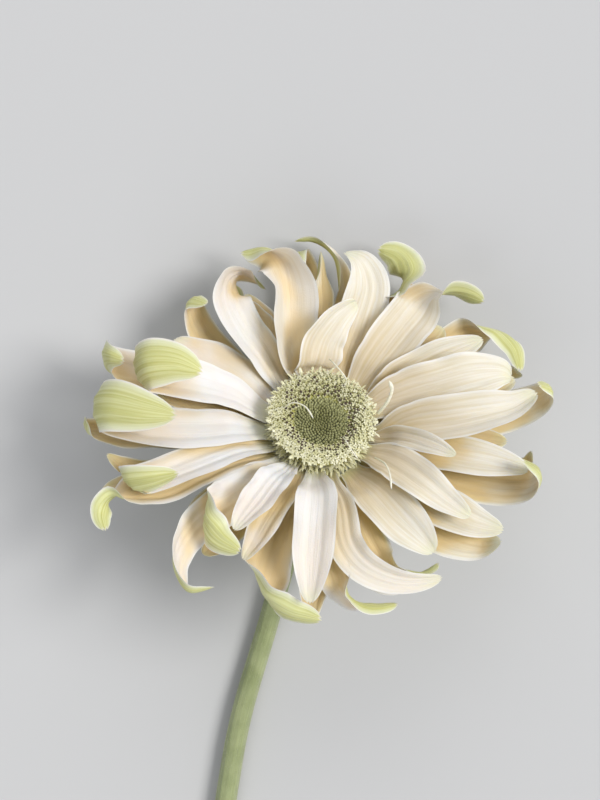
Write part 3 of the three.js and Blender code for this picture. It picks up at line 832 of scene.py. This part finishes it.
def build_cup():
    """The receptacle with three whorls of overlapping bracts."""
    dice = random.Random(11)
    body = Body()
    inside = [(11.2, -10.9), (11.0, -9.0), (11.0, -4.0), (10.2, -3.1), (0.02, -3.1)]
    profile = [(0.02, -15.6)] + CUP_PROFILE + inside
    sides = 72
    points = []
    alongs = []
    acrosses = []
    specks = []
    for step in range(sides):
        angle = 2 * math.pi * step / sides
        for number, (radius, height) in enumerate(profile):
            ripple = 1 + 0.012 * math.sin(angle * 22)
            points.append(outward(angle) * radius * ripple * MM + UP * height * MM)
            alongs.append(number / len(profile))
            acrosses.append(angle)
            specks.append(1.0 if height > -10 else 0.15)
    count = len(profile)
    faces = []
    for step in range(sides):
        following = (step + 1) % sides
        for number in range(count):
            nearer = (number + 1) % count
            faces.append((step * count + number, following * count + number,
                          following * count + nearer, step * count + nearer))
    body.add(to_world(points), faces, along=alongs, across=acrosses, speck=specks)
    # number of bracts, where each starts and stops along the cup, then half width, lift and reach in mm
    whorls = [
        (22, 0.30, 1.0, 1.75, 0.35, 2.6),
        (19, 0.12, 0.86, 1.85, 0.75, 0.0),
        (15, 0.02, 0.55, 1.75, 1.15, 0.0),
    ]
    for count, start, stop, half_width, lift, reach in whorls:
        for number in range(count):
            angle = 2 * math.pi * (number + dice.uniform(-0.15, 0.15)) / count + start * 3
            end = stop * dice.uniform(0.94, 1.0)
            build_bract(body, dice, angle, start, end, half_width * MM, lift * MM, reach * MM)
    cup_material = green_material("bract", (0.20, 0.26, 0.10), (0.11, 0.16, 0.06), 3.0)
    body.piece("bract_cup", cup_material, "bracts", "involucre")


# ---- stem ---------------------------------------------------------------------------------------------


def stem_path():
    """Middles and radii of the stem from the neck to the cut end, from its solid's rings."""
    points, joined = cad_mesh("stem")
    neck = HEAD + HEAD_AXES[2] * CUP_PROFILE[0][1] * MM
    first = np.argsort(np.linalg.norm(points - neck, axis=1))[:STEM_CORNERS].tolist()
    layers = ring_layers(joined, first)
    middles = np.array([points[layer].mean(axis=0) for layer in layers])
    radii = []
    for layer, middle in zip(layers, middles):
        radii.append(np.linalg.norm(points[layer] - middle, axis=1).mean())
    return middles, np.array(radii)


def build_stem():
    """A ribbed, finely hairy stem with a fresh cut end."""
    dice = random.Random(21)
    middles, radii = stem_path()
    stations = length_shares(middles)
    where = np.linspace(0, 1, STEM_ROWS)
    path = smooth_through(stations, middles, where)
    radius = smooth_through(stations, radii[:, None], where)[:, 0] * SKIN_SHARE

    def ripple(angle, row):
        rib = 0.018 * math.sin(angle * 9 + 0.3 * math.sin(row * 0.05))
        swell = 0.012 * math.sin(row * 0.21) * math.sin(angle + row * 0.013)
        return 1 + rib + swell

    points, faces = tube(path, radius, STEM_SIDES, ripple)
    body = Body()
    alongs = [share for share in where for _ in range(STEM_SIDES)]
    acrosses = [math.sin(2 * math.pi * step / STEM_SIDES) for _ in where for step in range(STEM_SIDES)]
    # without the tube's last face, as the cut end closes the stem
    body.add(points, faces[:-1], along=alongs, across=acrosses, speck=0.0)
    add_cut_end(body, path)
    stem_material = green_material("stem_skin", (0.33, 0.37, 0.18), (0.24, 0.28, 0.12), 30.0)
    body.piece("stem_skin", stem_material, "stem", "stem")
    build_hairs(dice, path, radius, stem_material)


def add_cut_end(body, path):
    """Closes the stem with a slightly sunken, paler cut, from the last ring of the body's points inwards."""
    out = unit(path[-1] - path[-2])
    middle = path[-1]
    last_ring = body.points[-STEM_SIDES:]
    previous = list(range(len(body.points) - STEM_SIDES, len(body.points)))
    for share, depth in ((0.9, 0.15), (0.72, -0.1), (0.35, -0.35), (0.1, -0.2)):
        ring = [middle + (np.array(p) - middle) * share + out * depth * MM for p in last_ring]
        start = len(body.points)
        body.add(ring, [], along=1.0, across=0.0, speck=1.0 if share < 0.85 else 0.5)
        current = list(range(start, start + STEM_SIDES))
        for step in range(STEM_SIDES):
            following = (step + 1) % STEM_SIDES
            body.faces.append((previous[step], previous[following], current[following], current[step]))
        previous = current
    body.faces.append(tuple(previous))


def build_hairs(dice, path, radius, material):
    """Short pale hairs all along the stem."""
    body = Body()
    rows = len(path)
    for _ in range(HAIR_COUNT):
        row = dice.randrange(2, rows - 2)
        along = unit(path[row + 1] - path[row - 1])
        across = unit(np.cross(along, [0.2, 0.1, 0.97]))
        other = np.cross(along, across)
        angle = dice.uniform(0, 2 * math.pi)
        out = across * math.cos(angle) + other * math.sin(angle)
        root = path[row] + (path[row + 1] - path[row]) * dice.random() + out * radius[row] * 0.97
        if root[2] < ROOT_CLEARANCE:
            continue
        length = dice.uniform(0.4, 0.95) * MM
        tip = root + (out + along * dice.uniform(-0.6, 0.6)) * length
        if tip[2] < TIP_CLEARANCE:
            continue
        ahead = along * HAIR_WIDTH
        aside = np.cross(out, along) * HAIR_WIDTH
        base = [root + ahead, root - ahead * 0.5 + aside, root - ahead * 0.5 - aside]
        body.add(base + [tip], [(0, 1, 2), (0, 3, 1), (1, 3, 2), (2, 3, 0)], along=0.5, across=0.0, speck=0.8)
    body.piece("stem_hairs", material, "stem")


# ---- studio -------------------------------------------------------------------------------------------


def add_floor():
    mesh = bpy.data.meshes.new("floor")
    size = FLOOR_HALF_SIZE
    corners = [(-size, -size, 0), (size, -size, 0), (size, size, 0), (-size, size, 0)]
    mesh.from_pydata(corners, [], [(0, 1, 2, 3)])
    floor = bpy.data.objects.new("floor", mesh)
    bpy.context.scene.collection.objects.link(floor)
    n = Nodes("floor_paper")
    mesh.materials.append(n.finish((0.52, 0.52, 0.52, 1), 0.9))


def add_light(name, way, spread, strength, color=(1, 1, 1)):
    """Soft light from far off in the direction of way, its source spread degrees across."""
    light = bpy.data.lights.new(name, "SUN")
    light.angle = math.radians(spread)
    light.energy = strength
    light.color = color
    lamp = bpy.data.objects.new(name, light)
    lamp.location = Vector(HEAD) + Vector(way)
    lamp.rotation_euler = Vector(way).to_track_quat("Z", "Y").to_euler()
    bpy.context.scene.collection.objects.link(lamp)


def add_studio():
    add_floor()
    add_light("key", (0.72, 0.12, 0.88), 26, 2.55, (1, 0.99, 0.97))
    add_light("fill", (-0.4, -0.9, 0.8), 40, 0.65, (0.97, 0.98, 1.0))
    add_light("top", (0.0, 0.9, 0.7), 40, 0.65)
    world = bpy.data.worlds.new("studio")
    world.use_nodes = True
    world.node_tree.nodes["Background"].inputs["Color"].default_value = (0.9, 0.93, 1, 1)
    world.node_tree.nodes["Background"].inputs["Strength"].default_value = 0.40
    bpy.context.scene.world = world
    bpy.context.scene.view_settings.view_transform = "Standard"


def add_camera():
    """The camera looks straight down at the head, as the flower is laid down."""
    data = bpy.data.cameras.new("camera")
    data.lens = LENS
    data.sensor_width = SENSOR
    camera = bpy.data.objects.new("camera", data)
    camera.location = Vector(HEAD) + CAMERA_ASIDE + Vector((0, 0, CAMERA_HEIGHT))
    bpy.context.scene.collection.objects.link(camera)
    bpy.context.scene.camera = camera


add_camera()
build_petals()
build_disc()
build_cup()
build_stem()
add_studio()
